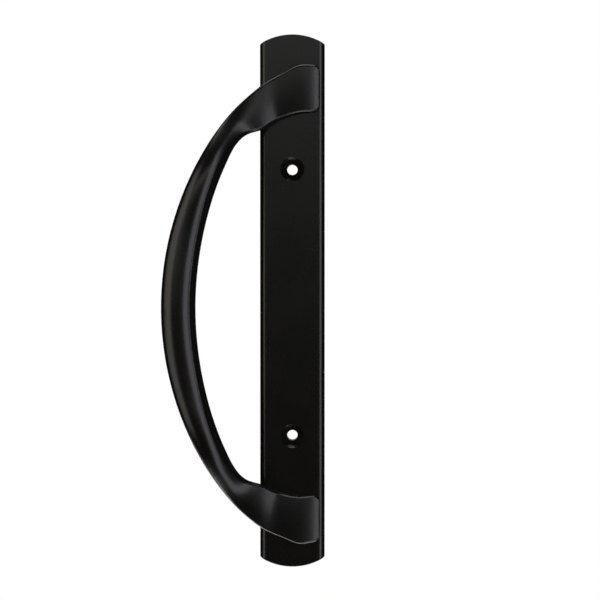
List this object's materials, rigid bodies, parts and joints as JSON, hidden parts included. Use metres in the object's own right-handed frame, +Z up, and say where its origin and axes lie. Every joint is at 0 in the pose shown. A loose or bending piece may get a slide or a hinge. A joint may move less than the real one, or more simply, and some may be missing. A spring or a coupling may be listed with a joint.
{
  "type": "sliding patio door handle",
  "caption": "Pull handle for a sliding patio door: a long plate with arched ends and countersunk fixing holes, and a bowed grip set off to one side, in satin black.",
  "frame": {"origin": "midway between the two fixing holes, on the plate's back face", "axes": "+Z up along the plate, -Y out of the door towards the hand, +X to the right as seen by the user; the grip stands off to -X"},
  "size_m": [0.0806, 0.0332, 0.2664],
  "materials": {
    "black_paint": "satin black paint on die-cast metal",
    "plated_steel": "dull zinc plate"
  },
  "bodies": {
    "root": {"backplate": "black_paint", "pull_grip": "black_paint", "grip_screws": "plated_steel"}
  },
  "joints": []
}
